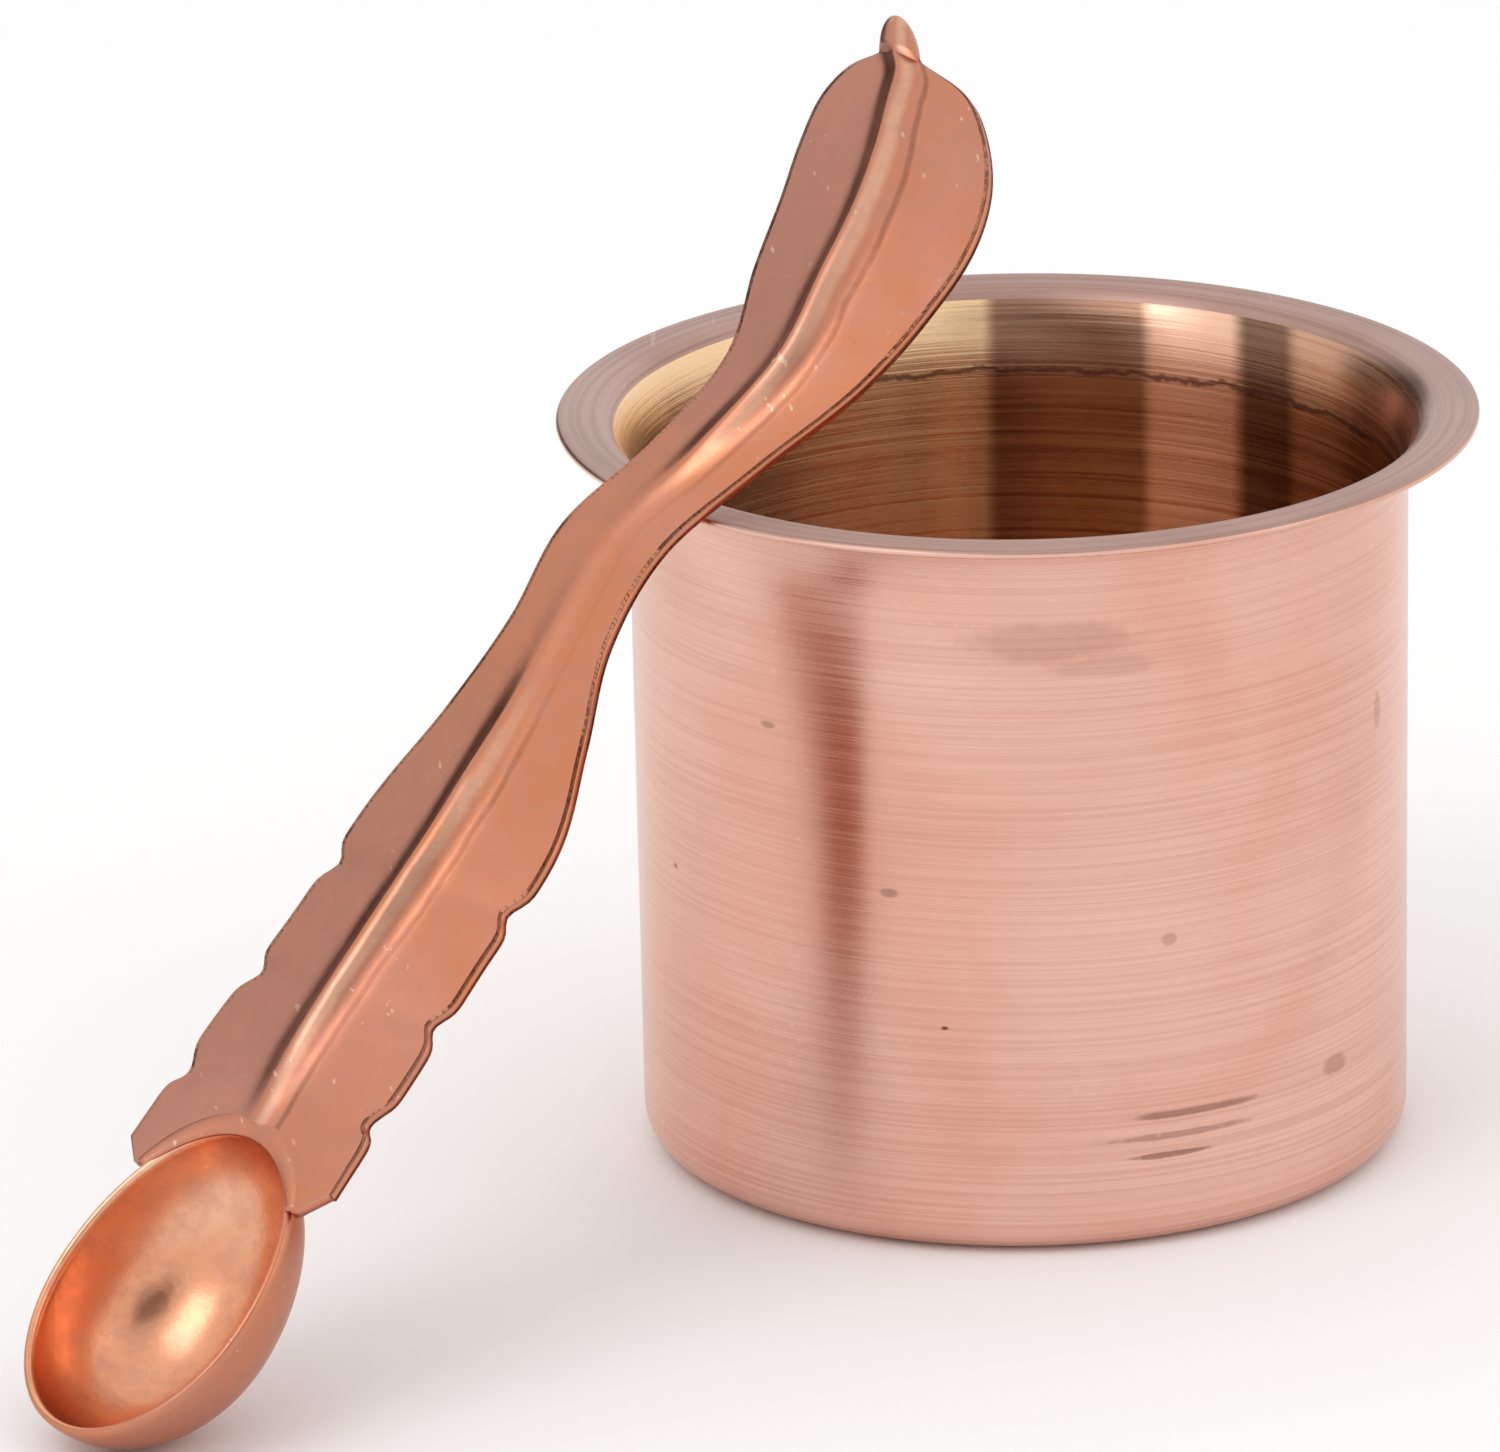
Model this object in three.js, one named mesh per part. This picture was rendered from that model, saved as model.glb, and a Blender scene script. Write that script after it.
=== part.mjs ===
// A small copper offering cup and its leaf-handled spoon.
// The spoon stands beside the cup on its bowl and leans on the cup's lip.
// Millimetres, +Z up. The origin is the centre of the cup's base, on the surface it stands on.
import * as THREE from 'three';

// Cup: one spun sheet, straight walled, with a rounded base corner and a flat turned-out lip
const cupHeight = 68;
const wallTopRadius = 35;
const wallFootRadius = 34.7;
const baseCornerRadius = 3;
const cupSheet = 0.7;
const baseSheet = 0.9;
const flareHeight = 7.7; // the wall leaves the straight this far below the lip's top
const crestRadius = 38; // where the turn ends and the flat lip begins
const lipRadius = 41.4;
const cupSides = 64;
const cornerSteps = 4;
const flareSteps = 7;

// Spoon bowl: an egg-shaped half shell, longer towards its free end
const bowlBackLength = 14.6;
const bowlFrontLength = 17;
const bowlHalfWidth = 11.6;
const bowlDepth = 12;
const bowlSheet = 0.8;
const bowlSides = 36;
const bowlRings = 7;

// Spoon handle: one pressed sheet with a raised rib, a notched lower leaf,
// a narrow waist and an upper leaf that sways over and ends in a small bud.
// Its foot is hollowed out round the bowl's front, between two shoulders.
const handleSheet = 0.9;
const shoulderPlace = 13.2; // the shoulders' tips, measured from the bowl's centre
const neckPlace = 10.4; // where the shoulders meet the bowl's rim
const footFade = 13; // the stretch over which the foot's hollow edge turns into straight sections
const leafEnd = 132.6; // where the upper leaf closes on the bud
const budLength = 3.9;
const budHalfWidth = 2.3;
const budHalfHeight = 1.1;
const budEdge = 0.3; // thickness at the bud's rim
const budTurn = 0.7; // how far the bud leans to the left for each millimetre along
const budShares = [0.2, 0.5, 0.75, 0.9, 0.98]; // of the bud's length, where its sections lie
const handleStep = 2;
// Shares of the half width at which each of the handle's sections has its points
const sectionShares = [-1, -0.78, -0.58, -0.34, -0.2, -0.1, 0, 0.1, 0.2, 0.34, 0.58, 0.78, 1];
const notchPlaces = [21, 31, 43];
const notchDepth = 1.3;
const notchWidth = 1.4;
const ribHalfWidth = 1.5;
const roofShare = 0.5; // how much of the rib's height is the roof slope of the two flanks

// Where the spoon stands
const headingAngle = THREE.MathUtils.degToRad(46.75); // of the handle, seen from above, from +X
const spoonStance = 105.8; // from the bowl's centre to the cup's axis, along the heading
const spoonOffset = 6.1; // how far the handle's line passes to the left of the cup's axis
const seamGap = 0.3; // between the handle's foot and the bowl's rim
const leanGap = 0.4; // straight up, between the lip and the handle that leans on it
const steepestLean = THREE.MathUtils.degToRad(84); // where the search for the lean begins
const leanHalvings = 60;

// Handle stations: along, middle of the width, half width, height of the rib's crest.
// All are measured from the bowl's centre in the plane of its rim, positive to the right.
const handleStations = [
  [shoulderPlace, 0.3, 12.1, 0.5],
  [18, 0.5, 12, 1.2],
  [26, 1, 11.8, 2.4],
  [37, 1.7, 11.2, 3],
  [50, 2.2, 11, 3.1],
  [60, 1.3, 8.3, 2.5],
  [70, -0.3, 5.9, 1.6],
  [80, -0.9, 6, 1.1],
  [90, 3.4, 6.3, 1.6],
  [100, 7.1, 7.9, 2.6],
  [109, 6.8, 10.4, 3.4],
  [116, 6.1, 11.4, 3.6],
  [122, 4.3, 11.3, 3.2],
  [127, 2, 9.8, 2.5],
  [130.4, 0.3, 7.2, 1.8],
  [leafEnd, -2, 2.5, 1.1],
];

// A closed body from rings of points that all have the same count.
// Each ring runs along its upper side and back along its lower side.
function loft(rings) {
  const count = rings[0].length;
  const corners = rings.flat().flatMap((p) => [p.x, p.y, p.z]);
  const faces = [];
  const quad = (a, b, c, d) => faces.push(a, b, c, a, c, d);
  for (let i = 0; i < rings.length - 1; i++) {
    for (let k = 0; k < count; k++) {
      const next = (k + 1) % count;
      quad(i * count + k, i * count + next, (i + 1) * count + next, (i + 1) * count + k);
    }
  }
  const last = (rings.length - 1) * count;
  for (let k = 0; k < count / 2 - 1; k++) {
    quad(k, count - 1 - k, count - 2 - k, k + 1);
    quad(last + k, last + k + 1, last + count - 2 - k, last + count - 1 - k);
  }
  const geometry = new THREE.BufferGeometry();
  geometry.setAttribute('position', new THREE.Float32BufferAttribute(corners, 3));
  geometry.setIndex(faces);
  return geometry;
}

// One side of the cup's sheet, from the base to the lip. out is 0 on the outside and 1 on the inside.
function cupSide(out) {
  const sheet = out * cupSheet;
  const floor = out * baseSheet;
  const corner = baseCornerRadius - sheet;
  const cornerMiddle = new THREE.Vector2(wallFootRadius - baseCornerRadius, floor + corner);
  const points = [new THREE.Vector2(0, floor)];
  for (let i = 0; i <= cornerSteps; i++) {
    const turn = (Math.PI / 2) * (i / cornerSteps);
    points.push(new THREE.Vector2(
      cornerMiddle.x + corner * Math.sin(turn),
      cornerMiddle.y - corner * Math.cos(turn),
    ));
  }
  const flareFoot = cupHeight - flareHeight;
  const reach = crestRadius - wallTopRadius + sheet;
  const rise = flareHeight - cupSheet + sheet;
  for (let i = 0; i <= flareSteps; i++) {
    const turn = (Math.PI / 2) * (i / flareSteps);
    points.push(new THREE.Vector2(
      crestRadius - reach * Math.cos(turn),
      flareFoot + rise * Math.sin(turn),
    ));
  }
  points.push(new THREE.Vector2(lipRadius, cupHeight - cupSheet + sheet));
  return points;
}

function cupGeometry() {
  const profile = [...cupSide(0), ...cupSide(1).reverse()];
  return new THREE.LatheGeometry(profile, cupSides).rotateX(Math.PI / 2);
}

// The bowl in its own frame: x towards the handle, z up out of the mouth, the rim at z = 0
function bowlGeometry() {
  const ring = (polar, inset) => {
    const points = [];
    for (let k = 0; k < bowlSides; k++) {
      const turn = (2 * Math.PI * k) / bowlSides;
      const length = Math.cos(turn) < 0 ? bowlBackLength : bowlFrontLength;
      points.push([
        (length - inset) * Math.cos(turn) * Math.sin(polar),
        (bowlHalfWidth - inset) * Math.sin(turn) * Math.sin(polar),
        -(bowlDepth - inset) * Math.cos(polar),
      ]);
    }
    return points;
  };
  const polar = (i) => (Math.PI / 2) * (i / bowlRings);
  const corners = [[0, 0, -bowlDepth]];
  for (let i = 1; i <= bowlRings; i++) corners.push(...ring(polar(i), 0));
  for (let i = bowlRings; i >= 1; i--) corners.push(...ring(polar(i), bowlSheet));
  corners.push([0, 0, bowlSheet - bowlDepth]);
  const faces = [];
  const bands = 2 * bowlRings - 1;
  for (let k = 0; k < bowlSides; k++) {
    const next = (k + 1) % bowlSides;
    faces.push(0, 1 + next, 1 + k);
    for (let i = 0; i < bands; i++) {
      const low = 1 + i * bowlSides;
      const high = low + bowlSides;
      faces.push(low + k, low + next, high + next, low + k, high + next, high + k);
    }
    const top = 1 + bands * bowlSides;
    faces.push(top + k, top + next, corners.length - 1);
  }
  const geometry = new THREE.BufferGeometry();
  geometry.setAttribute('position', new THREE.Float32BufferAttribute(corners.flat(), 3));
  geometry.setIndex(faces);
  return geometry;
}

// How far along the foot's edge lies, this far to the side: round the bowl's rim, then out to the shoulders
function footEdge(side) {
  const length = bowlFrontLength + seamGap;
  const half = bowlHalfWidth + seamGap;
  const neckSide = half * Math.sqrt(1 - (neckPlace / length) ** 2);
  if (Math.abs(side) < neckSide) return length * Math.sqrt(1 - (side / half) ** 2);
  const [, , shoulderSide] = handleStations[0];
  const out = (Math.abs(side) - neckSide) / (shoulderSide - neckSide);
  return THREE.MathUtils.lerp(neckPlace, shoulderPlace, Math.min(1, out));
}

function notchCut(along) {
  return notchPlaces.reduce(
    (cut, place) => cut + notchDepth * Math.exp(-(((along - place) / notchWidth) ** 2)), 0);
}

// The handle in the bowl's frame
function handleGeometry() {
  const line = new THREE.CatmullRomCurve3(
    handleStations.map(([along, middle, half]) => new THREE.Vector3(along, middle, half)));
  const crests = new THREE.CatmullRomCurve3(
    handleStations.map(([along, , , crest]) => new THREE.Vector3(along, crest, 0)));
  const steps = Math.round((leafEnd - shoulderPlace) / handleStep);
  const rings = [];
  for (let i = 0; i <= steps; i++) {
    const at = line.getPoint(i / steps);
    const crest = crests.getPoint(i / steps).y;
    const half = at.z - notchCut(at.x);
    const hollow = 1 - THREE.MathUtils.smoothstep(at.x, shoulderPlace, shoulderPlace + footFade);
    const upper = sectionShares.map((v) => {
      const side = at.y + v * half;
      const along = at.x + hollow * (footEdge(side) - shoulderPlace);
      const height = crest * (roofShare * (1 - Math.abs(v))
        + (1 - roofShare) * Math.exp(-(((v * half) / ribHalfWidth) ** 2)));
      return new THREE.Vector3(along, -side, height);
    });
    const lower = upper.map((p) => new THREE.Vector3(p.x, p.y, p.z - handleSheet));
    rings.push([...upper, ...lower.reverse()]);
  }
  return loft([...rings, ...budRings(line.getPoint(1))]);
}

// The small bud that closes the leaf, turned the way the leaf sways
function budRings(root) {
  return budShares.map((place) => {
    const round = Math.sqrt(1 - place ** 2);
    const along = root.x + budLength * place;
    const middle = root.y - budLength * place * budTurn;
    const ring = (sign) => sectionShares.map((v) => new THREE.Vector3(
      along,
      -(middle + v * budHalfWidth * round),
      sign * (budHalfHeight * round * Math.sqrt(Math.max(0, 1 - v * v)) + budEdge / 2)));
    return [...ring(1), ...ring(-1).reverse()];
  });
}

// Height of the rim's centre over the floor when the bowl stands tilted on its round back
function bowlStandHeight(lean) {
  return Math.hypot(bowlBackLength * Math.sin(lean), bowlDepth * Math.cos(lean));
}

// The lean at which the handle's underside clears the lip's outer edge by the gap
function leanAngle() {
  const reach = spoonStance - lipRadius;
  let low = 0;
  let high = steepestLean;
  for (let i = 0; i < leanHalvings; i++) {
    const lean = (low + high) / 2;
    const over = bowlStandHeight(lean) + reach * Math.tan(lean) - handleSheet / Math.cos(lean);
    if (over < cupHeight + leanGap) low = lean;
    else high = lean;
  }
  return low;
}

function piece(name, geometry, color, roughness) {
  const material = new THREE.MeshStandardMaterial({ color, roughness, metalness: 1 });
  const mesh = new THREE.Mesh(geometry, material);
  mesh.name = name;
  return mesh;
}

function spoonGroup() {
  const lean = leanAngle();
  const tilted = new THREE.Group();
  tilted.rotation.y = -lean;
  tilted.add(piece('spoon_bowl', bowlGeometry(), 0xc8805c, 0.35));
  tilted.add(piece('spoon_handle', handleGeometry(), 0xcf8a68, 0.4));
  const turned = new THREE.Group();
  turned.rotation.z = headingAngle;
  turned.add(tilted);
  const heading = new THREE.Vector2(Math.cos(headingAngle), Math.sin(headingAngle));
  turned.position.set(
    -spoonStance * heading.x - spoonOffset * heading.y,
    -spoonStance * heading.y + spoonOffset * heading.x,
    bowlStandHeight(lean),
  );
  return turned;
}

const group = new THREE.Group();
group.add(piece('cup_body', cupGeometry(), 0xd6967a, 0.38));
group.add(spoonGroup());

export default group;
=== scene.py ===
import math

import bpy
from mathutils import Matrix, Vector


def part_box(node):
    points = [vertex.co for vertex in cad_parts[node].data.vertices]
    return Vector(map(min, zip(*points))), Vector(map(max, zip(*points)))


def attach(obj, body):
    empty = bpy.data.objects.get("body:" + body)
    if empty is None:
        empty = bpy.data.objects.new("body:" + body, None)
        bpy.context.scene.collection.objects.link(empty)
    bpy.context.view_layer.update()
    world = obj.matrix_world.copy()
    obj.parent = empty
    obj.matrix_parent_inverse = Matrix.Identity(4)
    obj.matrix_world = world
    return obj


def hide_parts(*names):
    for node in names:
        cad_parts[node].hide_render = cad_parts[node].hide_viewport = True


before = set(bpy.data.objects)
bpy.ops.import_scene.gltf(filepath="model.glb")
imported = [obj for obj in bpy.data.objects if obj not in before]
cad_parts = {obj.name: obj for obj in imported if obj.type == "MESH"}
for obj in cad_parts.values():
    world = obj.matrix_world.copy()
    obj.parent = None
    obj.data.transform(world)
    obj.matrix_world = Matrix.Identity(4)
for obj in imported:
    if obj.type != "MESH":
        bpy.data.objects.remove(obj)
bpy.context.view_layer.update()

# A copper offering cup and its leaf-handled spoon. Sizes are in millimetres and repeat the frame's, and the
# shapes are made finer than the frame's. Meshes are scaled to metres as they are made.
mm = 0.001

# The camera


cameraSetup = {
    "lens": 336,  # a long lens from over a metre away
    "sensor": 36,
    "place": (-0.024477, -1.196043, 0.448621),
    "pitch": 18.933,  # degrees down
    "roll": -1.0636,
    "clip": (0.05, 20),
}


def makeCamera(s):
    data = bpy.data.cameras.new("photoCamera")
    data.lens = s["lens"]
    data.sensor_width = s["sensor"]
    data.clip_start, data.clip_end = s["clip"]
    pitch, roll = math.radians(s["pitch"]), math.radians(s["roll"])
    ahead = Vector((0, math.cos(pitch), -math.sin(pitch)))
    up = Vector((0, math.sin(pitch), math.cos(pitch)))
    right = Vector((1, 0, 0))
    rolledRight = math.cos(roll) * right + math.sin(roll) * up
    rolledUp = math.cos(roll) * up - math.sin(roll) * right
    camera = bpy.data.objects.new("photoCamera", data)
    bpy.context.scene.collection.objects.link(camera)
    turn = Matrix((rolledRight, rolledUp, -ahead)).transposed().to_4x4()
    camera.matrix_world = Matrix.Translation(Vector(s["place"])) @ turn
    bpy.context.scene.camera = camera


makeCamera(cameraSetup)
print("camera ready")

# Mesh helpers


def meshObject(name, corners, faces):
    mesh = bpy.data.meshes.new(name)
    mesh.from_pydata([Vector(c) * mm for c in corners], [], faces)
    mesh.update()
    for polygon in mesh.polygons:
        polygon.use_smooth = True
    piece = bpy.data.objects.new(name, mesh)
    bpy.context.scene.collection.objects.link(piece)
    return piece


def latheMesh(name, profile, sides):
    # The profile starts and ends on the axis; those two points become single corners
    ringPoints = profile[1:-1]
    count = len(ringPoints)
    corners, faces = [], []
    for k in range(sides):
        turn = 2 * math.pi * k / sides
        corners += [(r * math.cos(turn), r * math.sin(turn), z) for r, z in ringPoints]
    bottom, inside = len(corners), len(corners) + 1
    corners += [(0, 0, profile[0][1]), (0, 0, profile[-1][1])]
    for k in range(sides):
        here, there = k * count, (k + 1) % sides * count
        faces.append((bottom, there, here))
        faces += [(here + i, there + i, there + i + 1, here + i + 1) for i in range(count - 1)]
        faces.append((inside, here + count - 1, there + count - 1))
    return meshObject(name, corners, faces)


def smoothStep(x, low, high):
    t = min(1, max(0, (x - low) / (high - low)))
    return t * t * (3 - 2 * t)


def mix(a, b, t):
    return a + (b - a) * t


# Node helpers


class Nodes:
    def __init__(self, tree):
        self.tree = tree

    def add(self, kind, settings=None, **inputs):
        node = self.tree.nodes.new(kind)
        for name, value in (settings or {}).items():
            setattr(node, name, value)
        for name, value in inputs.items():
            self.put(node, name, value)
        return node

    def put(self, node, name, value):
        socket = node.inputs[name]
        if isinstance(value, bpy.types.NodeSocket):
            self.tree.links.new(value, socket)
        else:
            socket.default_value = value

    def pair(self, kind, operation, a, b):
        node = self.add(kind, {"operation": operation})
        self.put(node, 0, a)
        self.put(node, 1, b)
        return node.outputs[0]

    def math(self, operation, a, b=0.0):
        return self.pair("ShaderNodeMath", operation, a, b)

    def vector(self, operation, a, b):
        return self.pair("ShaderNodeVectorMath", operation, a, b)

    def length(self, a):
        node = self.add("ShaderNodeVectorMath", {"operation": "LENGTH"})
        self.put(node, 0, a)
        return node.outputs["Value"]

    def scaled(self, a, scale):
        return self.add("ShaderNodeVectorMath", {"operation": "SCALE"}, Vector=a, Scale=scale).outputs[0]

    def place(self):
        return self.add("ShaderNodeTexCoord").outputs["Object"]

    def blend(self, factor, a, b):
        node = self.add("ShaderNodeMix", {"data_type": "RGBA"})
        self.put(node, 0, factor)
        self.put(node, 6, a)
        self.put(node, 7, b)
        return node.outputs[2]

    def span(self, value, fromLow, fromHigh, toLow=0.0, toHigh=1.0):
        node = self.add("ShaderNodeMapRange", {"interpolation_type": "SMOOTHSTEP"})
        for name, v in zip(("Value", "From Min", "From Max", "To Min", "To Max"),
                           (value, fromLow, fromHigh, toLow, toHigh)):
            self.put(node, name, v)
        return node.outputs[0]


def newGroup(name, inputs, outputs):
    group = bpy.data.node_groups.new(name, "ShaderNodeTree")
    for label, kind, value in inputs:
        socket = group.interface.new_socket(name=label, in_out="INPUT", socket_type=kind)
        socket.default_value = value
    for label in outputs:
        group.interface.new_socket(name=label, in_out="OUTPUT", socket_type="NodeSocketFloat")
    nodes = Nodes(group)
    return group, nodes, nodes.add("NodeGroupInput"), nodes.add("NodeGroupOutput")


# Fine rings left by the spinning lathe: they follow height on a wall and radius on a flat
ringSizes = {
    "flatShare": 0.9,  # rings on a flat lie this share as close together as on a wall
    "rings": 2600.0,
    "bands": 190.0,
    "around": 14.0,
    "wander": 22.0,
}


def makeTurnedRings(s):
    group, n, source, result = newGroup(
        "turnedRings",
        [("Fineness", "NodeSocketFloat", 1.0), ("Wander", "NodeSocketFloat", 0.5)],
        ["Mask", "Bands"],
    )
    place = n.place()
    split = n.add("ShaderNodeSeparateXYZ", Vector=place)
    flat = n.add("ShaderNodeCombineXYZ", X=split.outputs[0], Y=split.outputs[1]).outputs[0]
    run = n.math("ADD", n.math("MULTIPLY", n.length(flat), s["flatShare"]), split.outputs[2])
    wander = n.add("ShaderNodeTexNoise", Vector=place, Scale=s["wander"], Detail=1.0)
    drift = n.math("MULTIPLY", n.math("SUBTRACT", wander.outputs[0], 0.5), source.outputs["Wander"])
    fine = n.math("MULTIPLY", n.math("MULTIPLY", run, s["rings"]), source.outputs["Fineness"])
    lift = n.add("ShaderNodeCombineXYZ", Z=n.math("ADD", fine, drift)).outputs[0]
    spot = n.vector("ADD", n.scaled(flat, s["around"]), lift)
    rings = n.add("ShaderNodeTexNoise", Vector=spot, Scale=1.0, Detail=4.0, Roughness=0.7)
    n.put(result, "Mask", rings.outputs[0])
    coarse = n.add("ShaderNodeCombineXYZ", Z=n.math("MULTIPLY", run, s["bands"])).outputs[0]
    bands = n.add("ShaderNodeTexNoise", Vector=coarse, Scale=1.0, Detail=2.0)
    n.put(result, "Bands", bands.outputs[0])
    return group


# Tarnish: soft clouds, a fine grain and a sprinkling of small dark spots
tarnishSizes = {
    "clouds": 48.0,
    "grain": 420.0,
    "spots": 85.0,
    "spotEdge": (0.03, 0.07),
    "spotChance": 0.12,
}


def makeTarnish(s):
    group, n, source, result = newGroup(
        "tarnish",
        [("Size", "NodeSocketFloat", 1.0), ("Spots", "NodeSocketFloat", 0.5)],
        ["Cloud", "Grain", "Spot"],
    )
    place = n.place()
    large = n.add("ShaderNodeTexNoise", Vector=place, Detail=3.0, Roughness=0.55, Distortion=0.6)
    n.put(large, "Scale", n.math("MULTIPLY", source.outputs["Size"], s["clouds"]))
    n.put(result, "Cloud", n.span(large.outputs[0], 0.34, 0.66))
    small = n.add("ShaderNodeTexNoise", Vector=place, Detail=5.0, Roughness=0.7)
    n.put(small, "Scale", n.math("MULTIPLY", source.outputs["Size"], s["grain"]))
    n.put(result, "Grain", small.outputs[0])
    cells = n.add("ShaderNodeTexVoronoi", Vector=place, Scale=s["spots"], Randomness=1.0)
    near = n.span(cells.outputs["Distance"], *s["spotEdge"], 1.0, 0.0)
    chance = n.add("ShaderNodeSeparateColor", Color=cells.outputs["Color"]).outputs[0]
    chosen = n.math("LESS_THAN", chance, n.math("MULTIPLY", source.outputs["Spots"], s["spotChance"]))
    n.put(result, "Spot", n.math("MULTIPLY", near, chosen))
    return group


# Short handling scratches, in patches
scratchSizes = {
    "bends": 30.0,
    "bendReach": 0.004,
    "stretch": (1400.0, 60.0, 1400.0),
    "lineEdge": (0.70, 0.76),
    "patches": 70.0,
    "patchEdge": (0.52, 0.62),
}


def makeScratches(s):
    group, n, source, result = newGroup(
        "scratches",
        [("Amount", "NodeSocketFloat", 0.5), ("Turn", "NodeSocketVector", (0.4, 0.2, 0.7))],
        ["Mask"],
    )
    place = n.place()
    bend = n.add("ShaderNodeTexNoise", Vector=place, Scale=s["bends"], Detail=1.0)
    moved = n.vector("ADD", place, n.scaled(bend.outputs["Color"], s["bendReach"]))
    turned = n.add("ShaderNodeMapping", Vector=moved, Rotation=source.outputs["Turn"], Scale=s["stretch"])
    thin = n.add("ShaderNodeTexNoise", Vector=turned.outputs[0], Scale=1.0, Detail=1.0)
    line = n.span(thin.outputs[0], *s["lineEdge"])
    patch = n.add("ShaderNodeTexNoise", Vector=place, Scale=s["patches"], Detail=2.0)
    where = n.span(patch.outputs[0], *s["patchEdge"])
    n.put(result, "Mask", n.math("MULTIPLY", n.math("MULTIPLY", line, where), source.outputs["Amount"]))
    return group


turnedRings = makeTurnedRings(ringSizes)
tarnish = makeTarnish(tarnishSizes)
scratches = makeScratches(scratchSizes)
print("shared effects ready")


def newMaterial(name):
    material = bpy.data.materials.new(name)
    material.use_nodes = True
    return material, Nodes(material.node_tree), material.node_tree.nodes["Principled BSDF"]


def groupNode(n, group, **inputs):
    return n.add("ShaderNodeGroup", {"node_tree": group}, **inputs)


def grainBump(n, shader, height, strength):
    bump = n.add("ShaderNodeBump", Strength=strength, Distance=0.0002)
    n.put(bump, "Height", height)
    n.put(shader, "Normal", bump.outputs[0])


# The cup


cup = {
    "height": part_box("cup_body")[1].z / mm,
    "lipRadius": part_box("cup_body")[1].x / mm,
    "wallTopRadius": 35,
    "wallFootRadius": 34.7,
    "cornerRadius": 3,
    "sheet": 0.7,
    "baseSheet": 0.9,
    "flareHeight": 7.7,
    "crestRadius": 38,
    "sides": 256,
    "baseShares": (0.25, 0.5, 0.75, 0.9, 0.97),  # of the flat base's radius, where it has its rings
    "cornerSteps": 12,
    "wallSteps": 14,
    "flareSteps": 22,
    "lipSteps": 4,
    "edgeSteps": 6,
    "toolMark": 7.2,  # a ragged line this far under the lip, where the flare starts
    "toolMarkWander": 2.2,
    "stain": (0.16, 0.055, 0.035, 1),
    "bright": (0.92, 0.70, 0.58, 1),
    "brushing": 0.8,
    "paintedReflectionEdge": (1.2, 0.6),  # how far a painted reflection band's soft edge reaches outwards and inwards
    # painted reflections on the inside, upright light and dark bands: from, to, colour, strength
    "paintedReflections": (
        (-40, -2, (0.98, 0.68, 0.38, 1), 0.8), (-1.5, 12.5, (0.16, 0.05, 0.022, 1), 0.62),
        (13, 20.5, (0.98, 0.58, 0.42, 1), 0.8), (21.2, 25.5, (0.10, 0.035, 0.018, 1), 0.8),
        (26, 40, (0.50, 0.22, 0.13, 1), 0.5),
    ),
    "markRagged": 1.2,
    "markEdge": (0.75, 1.35),  # a mark fades between these shares of its half size
    # marks on the front: to the side, up, width, height, strength
    "marks": (
        (1.5, 57.5, 14, 3.2, 0.2), (6.5, 55, 9, 1.8, 0.14), (-12.5, 33.7, 1.6, 0.8, 0.45),
        (-7.8, 21.4, 0.8, 0.45, 0.95), (12.3, 28.9, 1.3, 1.1, 0.3), (14.5, 12.4, 11, 0.7, 0.55),
        (13.2, 10.4, 12, 0.6, 0.4), (12.2, 8.6, 8, 0.5, 0.6), (27.5, 12.8, 3.4, 1.8, 0.35),
        (-31.5, 30.5, 0.9, 0.5, 0.6), (-23, 47.5, 1.4, 0.6, 0.4), (31.5, 44, 1.2, 3, 0.3),
    ),
    # the four finishes, in the order of the material slots
    "finishes": {
        "spunOutside": {
            "main": (0.76, 0.415, 0.315, 1), "pale": (0.83, 0.51, 0.41, 1), "deep": (0.50, 0.20, 0.13, 1),
            "fineness": 1.5, "contrast": 0.3, "bands": 0.2, "bump": 0.08, "roughness": 0.25,
            "marked": True, "hasPaintedReflections": False,
        },
        "spunInside": {
            "main": (0.74, 0.34, 0.15, 1), "pale": (0.86, 0.50, 0.27, 1), "deep": (0.26, 0.08, 0.035, 1),
            "fineness": 0.9, "contrast": 0.5, "bands": 0.25, "bump": 0.3, "roughness": 0.25,
            "marked": False, "hasPaintedReflections": True,
        },
        # the lip is the same copper as the outside; its darker mauve tones are a painted reflection
        "spunLipPaintedReflection": {
            "main": (0.44, 0.265, 0.22, 1), "pale": (0.54, 0.35, 0.30, 1), "deep": (0.25, 0.13, 0.10, 1),
            "fineness": 1.0, "contrast": 0.5, "bands": 0.3, "bump": 0.2, "roughness": 0.33,
            "marked": False, "hasPaintedReflections": False,
        },
        # the flare is the same copper as the inside; its paler tones are a painted highlight
        "spunFlarePaintedHighlight": {
            "main": (0.72, 0.44, 0.30, 1), "pale": (0.86, 0.62, 0.45, 1), "deep": (0.34, 0.15, 0.09, 1),
            "fineness": 0.9, "contrast": 0.5, "bands": 0.35, "bump": 0.3, "roughness": 0.25,
            "marked": False, "hasPaintedReflections": True,
        },
    },
}

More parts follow.
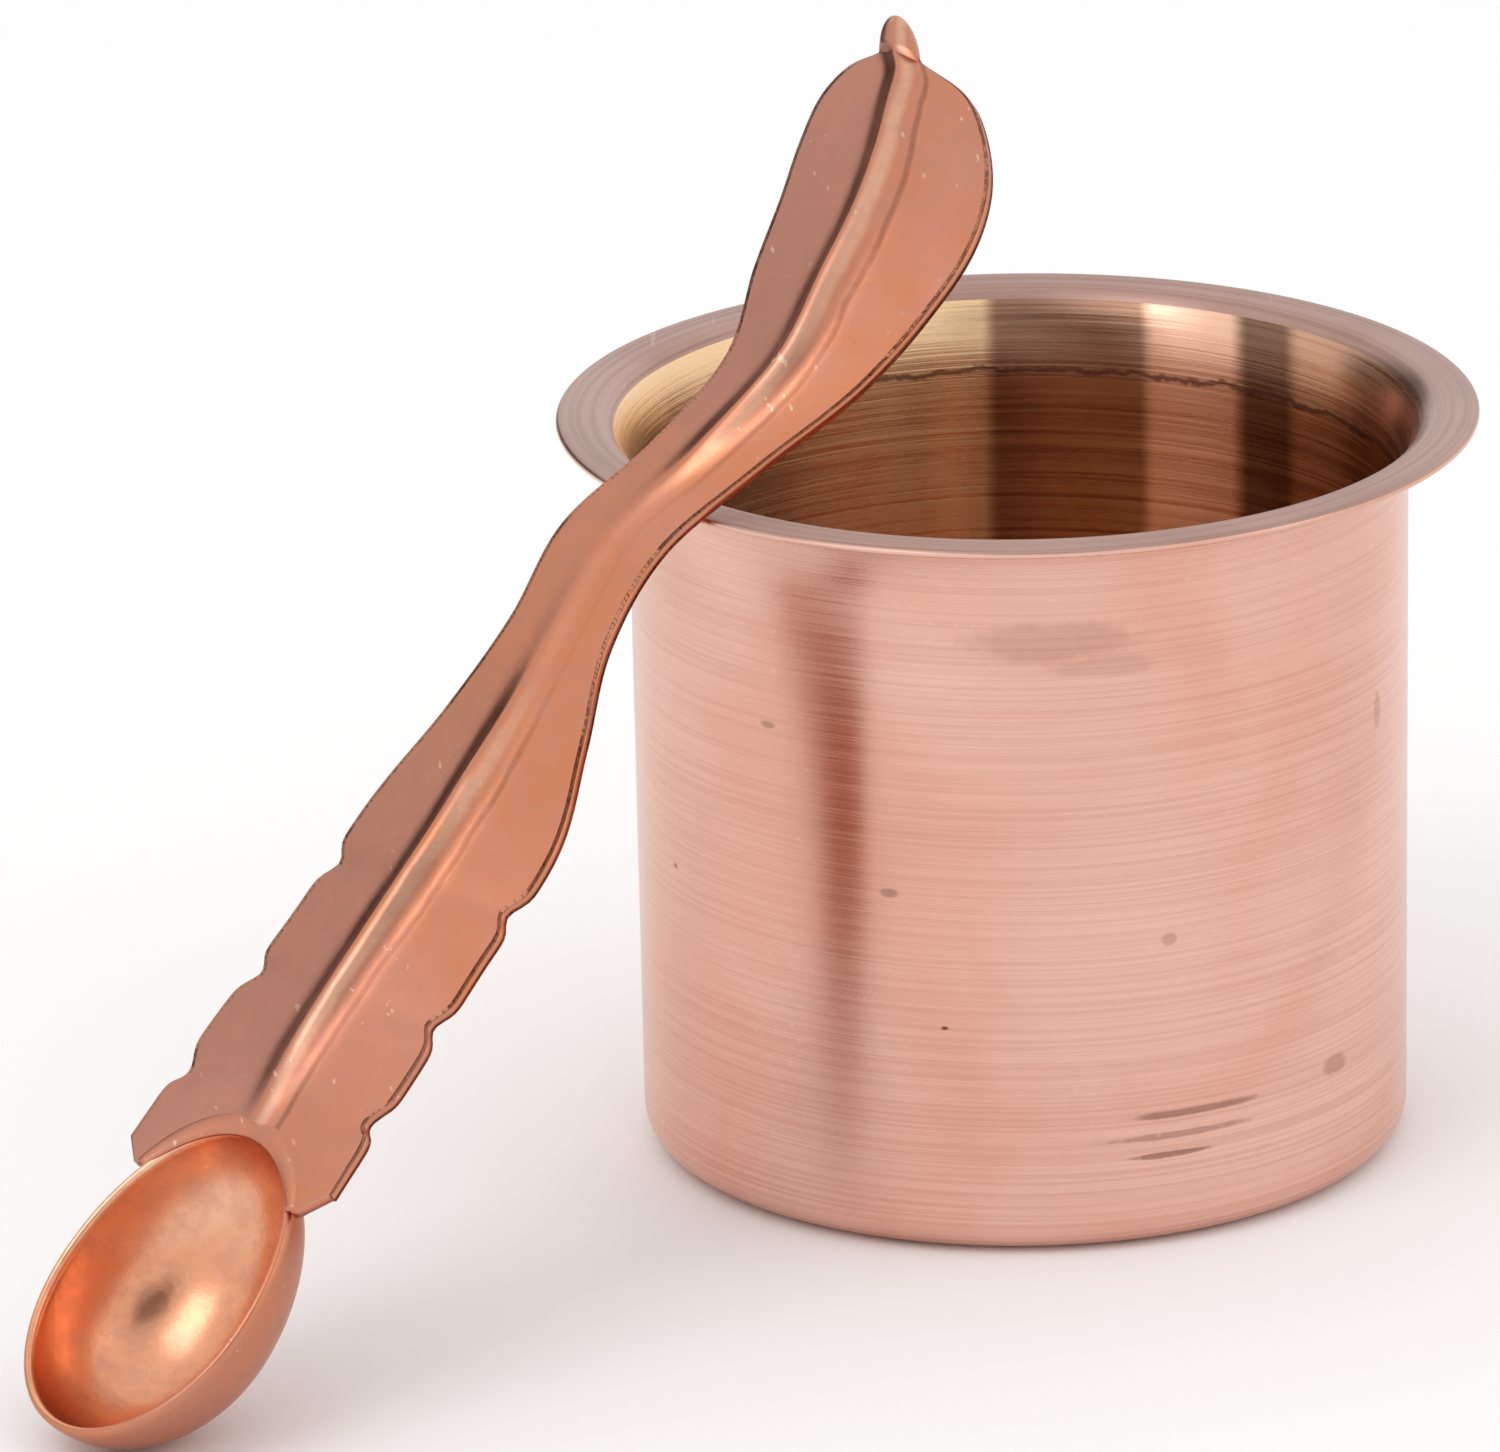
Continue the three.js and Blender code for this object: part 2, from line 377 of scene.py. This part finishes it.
def cupSide(c, inner):
    # One side of the sheet, from the axis to the lip, the same curves as the frame's
    sheet = c["sheet"] if inner else 0
    floor = c["baseSheet"] if inner else 0
    corner = c["cornerRadius"] - sheet
    middle = (c["wallFootRadius"] - c["cornerRadius"], floor + corner)
    points = [(0, floor)]
    points += [(middle[0] * share, floor) for share in c["baseShares"]]
    for i in range(c["cornerSteps"] + 1):
        turn = math.pi / 2 * i / c["cornerSteps"]
        points.append((middle[0] + corner * math.sin(turn), middle[1] - corner * math.cos(turn)))
    flareFoot = c["height"] - c["flareHeight"]
    reach = c["crestRadius"] - c["wallTopRadius"] + sheet
    rise = c["flareHeight"] - c["sheet"] + sheet
    foot, top = points[-1], (c["crestRadius"] - reach, flareFoot)
    for i in range(1, c["wallSteps"]):
        t = i / c["wallSteps"]
        points.append((mix(foot[0], top[0], t), mix(foot[1], top[1], t)))
    for i in range(c["flareSteps"] + 1):
        turn = math.pi / 2 * i / c["flareSteps"]
        points.append((c["crestRadius"] - reach * math.cos(turn), flareFoot + rise * math.sin(turn)))
    level = points[-1][1]
    reachOut = c["lipRadius"] - c["sheet"] / 2
    for i in range(1, c["lipSteps"] + 1):
        points.append((mix(c["crestRadius"], reachOut, i / c["lipSteps"]), level))
    return points


def cupMesh(c):
    half = c["sheet"] / 2
    edge = []
    for i in range(1, c["edgeSteps"]):
        turn = math.pi * i / c["edgeSteps"] - math.pi / 2
        radius = c["lipRadius"] - half + half * math.cos(turn)
        edge.append((radius, c["height"] - half + half * math.sin(turn)))
    outside, inside = cupSide(c, False), cupSide(c, True)[::-1]
    return latheMesh("cup_shell", outside + edge + inside, c["sides"])


def finishFaces(piece, c):
    # Gives each face of the shell the slot of its finish; the outside keeps the first
    slots = list(c["finishes"])
    facingUp = 0.5  # of a face's normal
    lipLevel = (c["height"] - c["sheet"] * 1.2) * mm
    flareFoot = (c["height"] - c["flareHeight"]) * mm
    innerRadius = (c["wallFootRadius"] - c["sheet"] / 2) * mm
    floorLevel = c["baseSheet"] * mm / 2
    for polygon in piece.data.polygons:
        x, y, z = polygon.center
        normal = polygon.normal
        inward = normal.x * x + normal.y * y < 0 or normal.z > facingUp
        if normal.z > facingUp and z > lipLevel:
            polygon.material_index = slots.index("spunLipPaintedReflection")
        elif inward and z >= flareFoot:
            polygon.material_index = slots.index("spunFlarePaintedHighlight")
        elif inward and math.hypot(x, y) < innerRadius and z > floorLevel:
            polygon.material_index = slots.index("spunInside")


def markMask(n, place, c, mark, ragged):
    # A soft-edged mark on the cup's front
    across, height, width, tall = mark
    depth = -math.sqrt(c["wallTopRadius"] ** 2 - across ** 2)
    away = n.vector("SUBTRACT", place, (across * mm, depth * mm, height * mm))
    size = n.vector("DIVIDE", away, (width * mm / 2, width * mm / 2, tall * mm / 2))
    worn = n.math("ADD", n.length(size), n.math("MULTIPLY", ragged, c["markRagged"]))
    return n.span(worn, *c["markEdge"], 1.0, 0.0)


def paintedReflectionsAndToolMark(n, place, c, colour, ragged):
    # The painted reflections, upright light and dark bands, and the ragged line that the tool left under
    # the flare
    split = n.add("ShaderNodeSeparateXYZ", Vector=place)
    outwards, inwards = c["paintedReflectionEdge"]
    for low, high, shade, strength in c["paintedReflections"]:
        rise = n.span(split.outputs[0], (low - outwards) * mm, (low + inwards) * mm)
        fall = n.span(split.outputs[0], (high - inwards) * mm, (high + outwards) * mm, 1.0, 0.0)
        colour = n.blend(n.math("MULTIPLY", n.math("MULTIPLY", rise, fall), strength), colour, shade)
    line = n.math("ADD", split.outputs[2], n.math("MULTIPLY", ragged, c["toolMarkWander"] * mm))
    off = n.math("ABSOLUTE", n.math("SUBTRACT", line, (c["height"] - c["toolMark"]) * mm))
    return n.blend(n.span(off, 0.1 * mm, 0.4 * mm, 0.75, 0.0), colour, c["stain"])


def cupMaterial(name, tone, c):
    material, n, shader = newMaterial(name)
    rings = groupNode(n, turnedRings, Fineness=tone["fineness"], Wander=2.5)
    cloud = groupNode(n, tarnish, Size=0.6, Spots=0.3)
    scratch = groupNode(n, scratches, Amount=0.35)
    place = n.place()
    colour = n.blend(cloud.outputs["Cloud"], tone["main"], tone["pale"])
    colour = n.blend(n.span(rings.outputs["Bands"], 0.5, 0.75, 0.0, tone["bands"]), colour, tone["deep"])
    ringMask = n.span(rings.outputs["Mask"], 0.34, 0.6, tone["contrast"], 0.0)
    colour = n.blend(ringMask, colour, tone["deep"])
    ragged = n.math("SUBTRACT", cloud.outputs["Grain"], 0.5)
    if tone["marked"]:
        for *mark, strength in c["marks"]:
            mask = markMask(n, place, c, mark, ragged)
            colour = n.blend(n.math("MULTIPLY", mask, strength), colour, c["stain"])
    # the inside and the flare get the painted reflections, upright light and dark bands
    if tone["hasPaintedReflections"]:
        colour = paintedReflectionsAndToolMark(n, place, c, colour, ragged)
    colour = n.blend(n.math("MULTIPLY", cloud.outputs["Spot"], 0.5), colour, c["stain"])
    colour = n.blend(n.math("MULTIPLY", scratch.outputs["Mask"], 0.5), colour, c["bright"])
    n.put(shader, "Base Color", colour)
    shader.inputs["Metallic"].default_value = 1
    shader.inputs["Anisotropic"].default_value = c["brushing"]
    shader.inputs["Anisotropic Rotation"].default_value = 0.25
    tangent = n.add("ShaderNodeTangent", {"direction_type": "RADIAL", "axis": "Z"})
    n.put(shader, "Tangent", tangent.outputs[0])
    grain = n.math("MULTIPLY", n.math("SUBTRACT", rings.outputs["Mask"], 0.5), 0.25)
    cloudy = n.math("MULTIPLY", cloud.outputs["Cloud"], 0.05)
    n.put(shader, "Roughness", n.math("ADD", n.math("ADD", tone["roughness"], grain), cloudy))
    grainBump(n, shader, rings.outputs["Mask"], tone["bump"])
    return material


cupShell = cupMesh(cup)
finishFaces(cupShell, cup)
for finishName, finish in cup["finishes"].items():
    cupShell.data.materials.append(cupMaterial(finishName, finish, cup))
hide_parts("cup_body")
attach(cupShell, "cup")
print("cup ready")

# The spoon, in the bowl's own frame: x towards the handle, y to the left, z out of the mouth


spoon = {
    "stance": 105.8,  # from the bowl's centre to the cup's axis, along the heading
    "offset": 6.1,
    "heading": 46.75,
    "leanGap": 0.4,
    "steepestLean": 1.4,  # radians, where the search for the lean begins
    "leanHalvings": 60,
    "backLength": 14.6,
    "frontLength": 17,
    "halfWidth": 11.6,
    "depth": 12,
    "bowlSheet": 0.8,
    "bowlSides": 128,
    "bowlRings": 26,
    "rimRings": 3,  # the rim is rounded over this many rings
    "handleSheet": 0.9,
    "shoulder": 13.2,
    "neck": 10.4,
    "footFade": 13,
    "budLength": 3.9,
    "budHalfWidth": 2.3,
    "budHalfHeight": 1.1,
    "budEdge": 0.3,
    "budTurn": 0.7,
    "budReach": 0.98,  # share of the bud's length at its last ring
    "budSteps": 14,
    "seamGap": 0.3,
    "steps": 300,
    "acrossSteps": 48,
    "edgeSteps": 4,
    "notches": (21, 31, 43),
    "notchDepth": 1.3,
    "notchWidth": 1.4,
    "ribHalfWidth": 1.5,
    "roofShare": 0.5,
    "waistFade": 0.85,  # how far the rib sinks into the sheet at the waist
    "waistStart": (52, 68),
    "waistEnd": (82, 97),
    # along, middle, half width, crest, as in the frame
    "stations": (
        (13.2, 0.3, 12.1, 0.5), (18, 0.5, 12, 1.2), (26, 1, 11.8, 2.4), (37, 1.7, 11.2, 3),
        (50, 2.2, 11, 3.1), (60, 1.3, 8.3, 2.5), (70, -0.3, 5.9, 1.6), (80, -0.9, 6, 1.1),
        (90, 3.4, 6.3, 1.6), (100, 7.1, 7.9, 2.6), (109, 6.8, 10.4, 3.4), (116, 6.1, 11.4, 3.6),
        (122, 4.3, 11.3, 3.2), (127, 2, 9.8, 2.5), (130.4, 0.3, 7.2, 1.8), (132.6, -2, 2.5, 1.1),
    ),
    "copper": (0.60, 0.225, 0.115, 1),
    "rose": (0.58, 0.245, 0.16, 1),
    # mauve is the tone of the tarnish grain and of the painted shade on the rib's left flank
    "mauve": (0.46, 0.225, 0.175, 1),
    # the bowl's inside is a paler, more golden copy of the spoon's copper, a painted highlight of the light
    # caught in the hollow
    "bowlInside": (0.78, 0.35, 0.20, 1),
    "bowlGold": (0.88, 0.50, 0.33, 1),
    # bright is the tone of the scratches and of the painted highlight beside the rib
    "bright": (0.90, 0.62, 0.45, 1),
    "speck": (0.10, 0.03, 0.02, 1),
    "creaseShade": (0.17, 0.055, 0.03, 1),
    # painted light beside the rib's crest: a painted shade in mauve to its left, a painted highlight, then
    # a fine painted dark line of shade to its right
    "shadowEdge": (-1.4, 0.3),
    "shadowStrength": 0.55,
    "shinePlace": 0.9,
    "shineEdge": (0.2, 0.8),
    "shineStrength": 0.35,
    "creaseShadePlace": 2.7,
    "creaseShadeEdge": (0.1, 0.45),
    "creaseShadeStrength": 0.5,
    "roughness": 0.32,
    "leafRoughness": 0.29,
    "bowlRoughness": 0.24,
}


def standHeight(s, lean):
    return math.hypot(s["backLength"] * math.sin(lean), s["depth"] * math.cos(lean))


def leanAngle(s, c):
    reach = s["stance"] - c["lipRadius"]
    low, high = 0.0, s["steepestLean"]
    for _ in range(s["leanHalvings"]):
        lean = (low + high) / 2
        over = standHeight(s, lean) + reach * math.tan(lean) - s["handleSheet"] / math.cos(lean)
        if over < c["height"] + s["leanGap"]:
            low = lean
        else:
            high = lean
    return low


def spoonPlace(s, c):
    lean, heading = leanAngle(s, c), math.radians(s["heading"])
    x, y = math.cos(heading), math.sin(heading)
    stance, offset = s["stance"], s["offset"]
    place = Vector((-stance * x - offset * y, -stance * y + offset * x, standHeight(s, lean)))
    turned = Matrix.Rotation(heading, 4, "Z") @ Matrix.Rotation(-lean, 4, "Y")
    return Matrix.Translation(place * mm) @ turned


def bowlRing(s, i, inset, sink):
    # One ring of the bowl, this far within its outer face and sunk this far
    polar = math.pi / 2 * i / s["bowlRings"]
    points = []
    for k in range(s["bowlSides"]):
        turn = 2 * math.pi * k / s["bowlSides"]
        length = s["backLength"] if math.cos(turn) < 0 else s["frontLength"]
        points.append((
            (length - inset) * math.cos(turn) * math.sin(polar),
            (s["halfWidth"] - inset) * math.sin(turn) * math.sin(polar),
            -(s["depth"] - inset) * math.cos(polar) - sink,
        ))
    return points


def bowlMesh(s):
    sides, rings, sheet = s["bowlSides"], s["bowlRings"], s["bowlSheet"]

    def sink(i):
        # The last rings sink, which rounds the rim
        return sheet / 2 * smoothStep(i, rings - s["rimRings"], rings)

    corners = [(0, 0, -s["depth"])]
    for i in range(1, rings + 1):
        corners += bowlRing(s, i, 0, sink(i))
    corners += bowlRing(s, rings, sheet / 2, 0)
    for i in range(rings, 0, -1):
        corners += bowlRing(s, i, sheet, sink(i))
    corners.append((0, 0, sheet - s["depth"]))
    bands = 2 * rings
    faces = []
    for k in range(sides):
        there = (k + 1) % sides
        faces.append((0, 1 + there, 1 + k))
        for i in range(bands):
            low = 1 + i * sides
            faces.append((low + k, low + there, low + sides + there, low + sides + k))
        top = 1 + bands * sides
        faces.append((top + k, top + there, len(corners) - 1))
    piece = meshObject("spoon_bowl_shell", corners, faces)
    for polygon in piece.data.polygons:
        if min(polygon.vertices) > rings * sides and max(polygon.vertices) > (rings + 1) * sides:
            polygon.material_index = 1
    return piece


def catmull(points, t):
    # Centripetal Catmull-Rom through all the points, t from 0 to 1
    spans = len(points) - 1
    at = min(int(t * spans), spans - 1)
    weight = t * spans - at
    p1, p2 = Vector(points[at]), Vector(points[at + 1])
    p0 = Vector(points[at - 1]) if at > 0 else 2 * p1 - p2
    p3 = Vector(points[at + 2]) if at + 2 <= spans else 2 * p2 - p1
    d0, d1, d2 = ((b - a).length ** 0.5 for a, b in ((p0, p1), (p1, p2), (p2, p3)))
    t1 = ((p1 - p0) / d0 - (p2 - p0) / (d0 + d1) + (p2 - p1) / d1) * d1
    t2 = ((p2 - p1) / d1 - (p3 - p1) / (d1 + d2) + (p3 - p2) / d2) * d1
    w2, w3 = weight ** 2, weight ** 3
    start, end = 2 * w3 - 3 * w2 + 1, 3 * w2 - 2 * w3
    return start * p1 + (w3 - 2 * w2 + weight) * t1 + end * p2 + (w3 - w2) * t2


def footEdge(s, side):
    # How far along the foot's edge lies, this far to the side
    length, half = s["frontLength"] + s["seamGap"], s["halfWidth"] + s["seamGap"]
    neckSide = half * math.sqrt(1 - (s["neck"] / length) ** 2)
    if abs(side) < neckSide:
        return length * math.sqrt(1 - (side / half) ** 2)
    out = (abs(side) - neckSide) / (s["stations"][0][2] - neckSide)
    return mix(s["neck"], s["shoulder"], min(1, out))


def sheetRing(points, thick, steps):
    # A rounded sheet section from the points of its upper side
    lower = [Vector((p.x, p.y, p.z - thick)) for p in points]

    def roundEnd(upper, under, out):
        middle, arc = (upper + under) / 2, []
        for i in range(1, steps):
            turn = math.pi * i / steps
            arc.append(middle + (upper - middle) * math.cos(turn) + out * math.sin(turn) * thick / 2)
        return arc

    outRight = (points[-1] - points[-2]).normalized()
    outLeft = (points[0] - points[1]).normalized()
    inRight, inLeft = -outRight * thick / 2, -outLeft * thick / 2
    upper = [points[0] + inLeft] + points[1:-1] + [points[-1] + inRight]
    under = [lower[0] + inLeft] + lower[1:-1] + [lower[-1] + inRight]
    right = roundEnd(upper[-1], under[-1], outRight)
    left = roundEnd(under[0], upper[0], outLeft)
    return upper + right + under[::-1] + left


def capStrip(count, upperCount):
    # Faces across the foot's cut edge: each joins a stretch of the upper side to the one under it
    arc = (count - 2 * upperCount) // 2
    faces = []
    for k in range(upperCount - 1):
        under = 2 * upperCount + arc - 1 - k
        faces.append((k, under, under - 1, k + 1))
    right = list(range(upperCount - 1, upperCount + arc + 1))
    left = [2 * upperCount + arc - 1 + k for k in range(arc + 1)] + [0]
    faces.append(tuple(reversed(right)))
    faces.append(tuple(reversed(left)))
    return faces


def leafSection(s, across, t):
    # One section of the leaf, its half width, and how far the rib has sunk into the sheet
    at = catmull([p[:3] for p in s["stations"]], t)
    crest = catmull([(p[0], p[3], 0) for p in s["stations"]], t).y
    cut = sum(s["notchDepth"] * math.exp(-((at.x - p) / s["notchWidth"]) ** 2) for p in s["notches"])
    half = at.z - cut
    waist = smoothStep(at.x, *s["waistStart"]) * (1 - smoothStep(at.x, *s["waistEnd"]))
    sunk = s["waistFade"] * waist
    hollow = 1 - smoothStep(at.x, s["shoulder"], s["shoulder"] + s["footFade"])
    points = []
    for v in across:
        side = at.y + v * half
        along = at.x + hollow * (footEdge(s, side) - s["shoulder"])
        rib = (1 - sunk) * math.exp(-((v * half / s["ribHalfWidth"]) ** 2))
        height = crest * (s["roofShare"] * (1 - abs(v)) + (1 - s["roofShare"]) * rib)
        points.append(Vector((along, -side, height)))
    return sheetRing(points, s["handleSheet"], s["edgeSteps"]), half, sunk


def budSection(s, across, root, place):
    # One section of the bud, and its half width; place is a share of the bud's length
    taper = math.sqrt(1 - place ** 2)
    middle = root.y - s["budLength"] * place * s["budTurn"]
    along = root.x + s["budLength"] * place
    width = s["budHalfWidth"] * taper
    upper, lower = [], []
    for v in across:
        rise = s["budHalfHeight"] * taper * math.sqrt(max(0, 1 - v * v)) + s["budEdge"] / 2
        upper.append(Vector((along, -(middle + v * width), rise)))
        lower.append(Vector((along, -(middle + v * width), -rise)))
    shares = [k / s["edgeSteps"] for k in range(1, s["edgeSteps"])]
    edgeRight = [upper[-1].lerp(lower[-1], share) for share in shares]
    edgeLeft = [lower[0].lerp(upper[0], share) for share in shares]
    return upper + edgeRight + lower[::-1] + edgeLeft, width


def handleMesh(s):
    across = [math.sin(math.pi / 2 * (2 * i / s["acrossSteps"] - 1)) for i in range(s["acrossSteps"] + 1)]
    sections = [leafSection(s, across, i / s["steps"]) for i in range(s["steps"] + 1)]
    root = catmull([p[:3] for p in s["stations"]], 1)
    for i in range(1, s["budSteps"] + 1):
        place = s["budReach"] * math.sin(math.pi / 2 * i / s["budSteps"])
        sections.append((*budSection(s, across, root, place), 0))
    rings = [ring for ring, _, _ in sections]
    count = len(rings[0])
    faces = capStrip(count, len(across))
    for i in range(len(rings) - 1):
        low, high = i * count, (i + 1) * count
        for k in range(count):
            there = (k + 1) % count
            faces.append((low + k, low + there, high + there, high + k))
    faces.append(tuple((len(rings) - 1) * count + k for k in range(count)))
    piece = meshObject("spoon_leaf_handle", [p for ring in rings for p in ring], faces)
    # For the painted light beside the rib: how far to the right of the rib's crest a point lies, and how
    # much rib stands there
    arc = s["edgeSteps"] - 1
    shares = across + [1] * arc + across[::-1] + [-1] * arc
    fromRib = [share * half for _, half, _ in sections for share in shares]
    ribStrength = [1 - sunk for _, _, sunk in sections for _ in shares]
    for name, values in (("fromRib", fromRib), ("ribStrength", ribStrength)):
        piece.data.attributes.new(name, "FLOAT", "POINT").data.foreach_set("value", values)
    return piece


# Painted shade on the rib's left flank, a painted highlight right of its crest and a fine painted dark line
# of shade beyond it
def paintedRibLight(n, s, colour, cloud):
    fromRib = n.add("ShaderNodeAttribute", {"attribute_name": "fromRib"}).outputs["Fac"]
    strength = n.add("ShaderNodeAttribute", {"attribute_name": "ribStrength"}).outputs["Fac"]
    uneven = n.math("MULTIPLY", n.math("SUBTRACT", cloud, 0.5), 0.5)
    side = n.math("ADD", fromRib, uneven)
    shadow = n.math("MULTIPLY", n.span(side, *s["shadowEdge"], s["shadowStrength"], 0.0), strength)
    colour = n.blend(shadow, colour, s["mauve"])
    aside = n.math("ABSOLUTE", n.math("SUBTRACT", side, s["creaseShadePlace"]))
    creaseShade = n.math("MULTIPLY", n.span(aside, *s["creaseShadeEdge"], s["creaseShadeStrength"], 0.0), strength)
    colour = n.blend(creaseShade, colour, s["creaseShade"])
    aside = n.math("ABSOLUTE", n.math("SUBTRACT", side, s["shinePlace"]))
    shine = n.math("MULTIPLY", n.span(aside, *s["shineEdge"], s["shineStrength"], 0.0), strength)
    return n.blend(shine, colour, s["bright"])


def spoonMaterial(name, s, main, cloudy, roughness, leaf=False):
    material, n, shader = newMaterial(name)
    cloud = groupNode(n, tarnish, Size=1.0, Spots=0.7)
    scratch = groupNode(n, scratches, Amount=0.8, Turn=(0.2, 0.5, 1.1))
    colour = n.blend(cloud.outputs["Cloud"], main, cloudy)
    # the leaf gets the painted light beside its rib
    if leaf:
        colour = paintedRibLight(n, s, colour, cloud.outputs["Cloud"])
    grainMask = n.span(cloud.outputs["Grain"], 0.42, 0.62)
    colour = n.blend(n.math("MULTIPLY", grainMask, 0.25), colour, s["mauve"])
    colour = n.blend(n.math("MULTIPLY", cloud.outputs["Spot"], 0.7), colour, s["speck"])
    colour = n.blend(n.math("MULTIPLY", scratch.outputs["Mask"], 0.7), colour, s["bright"])
    n.put(shader, "Base Color", colour)
    shader.inputs["Metallic"].default_value = 1
    grain = n.math("MULTIPLY", n.math("SUBTRACT", cloud.outputs["Grain"], 0.5), 0.2)
    softer = n.math("MULTIPLY", cloud.outputs["Cloud"], 0.1)
    n.put(shader, "Roughness", n.math("ADD", n.math("ADD", roughness, grain), softer))
    grainBump(n, shader, cloud.outputs["Grain"], 0.15)
    return material


# The raised bend round the bowl's front, between the two necks, which closes the seam
bend = {
    "halfWidth": 1.2,
    "rise": 0.55,
    "underShare": 0.9,  # how deep its underside is beside its upper side
    "sink": 0.12,
    "neckGap": 0.4,
    "taper": (0.06, 0.94),  # the stretch of a half turn that shapes its ends
    "pathSteps": 56,
    "sides": 16,
}


def bendMesh(s, b):
    length, half = s["frontLength"] + s["seamGap"] / 2, s["halfWidth"] + s["seamGap"] / 2
    widest = math.acos((s["neck"] + b["neckGap"]) / length)
    pathSteps, sides = b["pathSteps"], b["sides"]
    corners, faces = [], []
    for i in range(pathSteps + 1):
        turn = mix(-widest, widest, i / pathSteps)
        middle = Vector((length * math.cos(turn), half * math.sin(turn), -b["sink"]))
        out = Vector((half * math.cos(turn), length * math.sin(turn), 0)).normalized()
        size = math.sin(math.pi * mix(*b["taper"], i / pathSteps)) ** 0.5
        for k in range(sides):
            around = 2 * math.pi * k / sides
            rise = b["rise"] * math.sin(around) * (1 if math.sin(around) > 0 else b["underShare"])
            across = out * b["halfWidth"] * size * math.cos(around)
            corners.append(middle + across + Vector((0, 0, rise * size)))
    for i in range(pathSteps):
        low, high = i * sides, (i + 1) * sides
        for k in range(sides):
            there = (k + 1) % sides
            faces.append((low + k, high + k, high + there, low + there))
    faces.append(tuple(range(sides)))
    faces.append(tuple(pathSteps * sides + k for k in reversed(range(sides))))
    return meshObject("spoon_bend", corners, faces)


def placeSpoon(piece, node, materials):
    for material in materials:
        piece.data.materials.append(material)
    piece.data.transform(spoonPlace(spoon, cup))
    if node:
        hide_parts(node)
    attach(piece, "spoon")


copper, rose = spoon["copper"], spoon["rose"]
bowlInside, bowlGold = spoon["bowlInside"], spoon["bowlGold"]
outerCopper = spoonMaterial("spoonCopper", spoon, copper, rose, spoon["roughness"])
# the paler copy for the bowl's inside is painted light
innerCopper = spoonMaterial("bowlInsideCopper", spoon, bowlInside, bowlGold, spoon["bowlRoughness"])
leafCopper = spoonMaterial("leafCopper", spoon, copper, rose, spoon["leafRoughness"], leaf=True)
placeSpoon(bowlMesh(spoon), "spoon_bowl", [outerCopper, innerCopper])
placeSpoon(handleMesh(spoon), "spoon_handle", [leafCopper])
placeSpoon(bendMesh(spoon, bend), None, [outerCopper])
print("spoon ready")

# The floor, the dark cards that copper reflects, and the light, all in metres


stageSetup = {
    "floorSize": (6.0, 6.0),
    "floorDrop": 0.0002,
    "floorColour": (0.97, 0.97, 0.97, 1),
    "worldStrength": 0.95,
    "aim": (0, 0, 0.04),
    "cardColour": (0.05, 0.035, 0.03, 1),
    # name, size, place
    "cards": (
        ("backLeftCard", (0.9, 0.45), (-0.62, 0.72, 0.27)),
        ("frontCard", (0.5, 0.35), (0.1, -0.9, 0.75)),
    ),
    # name, power, size, place
    "lamps": (
        ("keyLamp", 1.6, (0.5, 0.5), (-0.5, -0.5, 0.9)),
        ("fillLamp", 0.5, (0.6, 0.6), (0.8, -0.3, 0.6)),
    ),
}


def plainMaterial(name, colour):
    material, _, shader = newMaterial(name)
    shader.inputs["Base Color"].default_value = colour
    shader.inputs["Roughness"].default_value = 0.9
    shader.inputs["Specular IOR Level"].default_value = 0.2
    return material


def makePanel(name, size, material):
    w, h = size[0] / 2, size[1] / 2
    mesh = bpy.data.meshes.new(name)
    mesh.from_pydata([(-w, -h, 0), (w, -h, 0), (w, h, 0), (-w, h, 0)], [], [(0, 1, 2, 3)])
    mesh.materials.append(material)
    panel = bpy.data.objects.new(name, mesh)
    bpy.context.scene.collection.objects.link(panel)
    return panel


def aimed(place, target, front):
    turn = (Vector(target) - Vector(place)).to_track_quat(front, "Y")
    return Matrix.Translation(Vector(place)) @ turn.to_matrix().to_4x4()


def makeCard(name, size, place, target, material):
    # A dark card that only the copper's reflections see
    panel = makePanel(name, size, material)
    panel.matrix_world = aimed(place, target, "Z")
    panel.visible_camera = False
    panel.visible_diffuse = False
    panel.visible_shadow = False


def makeLamp(name, power, size, place, target):
    data = bpy.data.lights.new(name, "AREA")
    data.energy = power
    data.shape = "RECTANGLE"
    data.size, data.size_y = size
    lamp = bpy.data.objects.new(name, data)
    bpy.context.scene.collection.objects.link(lamp)
    lamp.matrix_world = aimed(place, target, "-Z")


def makeWorld(strength):
    # White to the camera and to reflections, a little less as light
    world = bpy.data.worlds.new("studioWorld")
    bpy.context.scene.world = world
    world.use_nodes = True
    n = Nodes(world.node_tree)
    background = world.node_tree.nodes["Background"]
    path = n.add("ShaderNodeLightPath")
    seen = n.math("MAXIMUM", path.outputs["Is Camera Ray"], path.outputs["Is Transmission Ray"])
    seen = n.math("MAXIMUM", seen, path.outputs["Is Glossy Ray"])
    n.put(background, "Color", (1, 1, 1, 1))
    n.put(background, "Strength", n.math("ADD", n.math("MULTIPLY", seen, 1 - strength), strength))


makeWorld(stageSetup["worldStrength"])
paleFloor = plainMaterial("paleFloor", stageSetup["floorColour"])
floor = makePanel("floor", stageSetup["floorSize"], paleFloor)
floor.location.z = -stageSetup["floorDrop"]
darkCard = plainMaterial("darkCard", stageSetup["cardColour"])
for cardName, cardSize, cardPlace in stageSetup["cards"]:
    makeCard(cardName, cardSize, cardPlace, stageSetup["aim"], darkCard)
for lampName, lampPower, lampSize, lampPlace in stageSetup["lamps"]:
    makeLamp(lampName, lampPower, lampSize, lampPlace, stageSetup["aim"])
bpy.context.scene.view_settings.view_transform = "Standard"
print("stage ready")
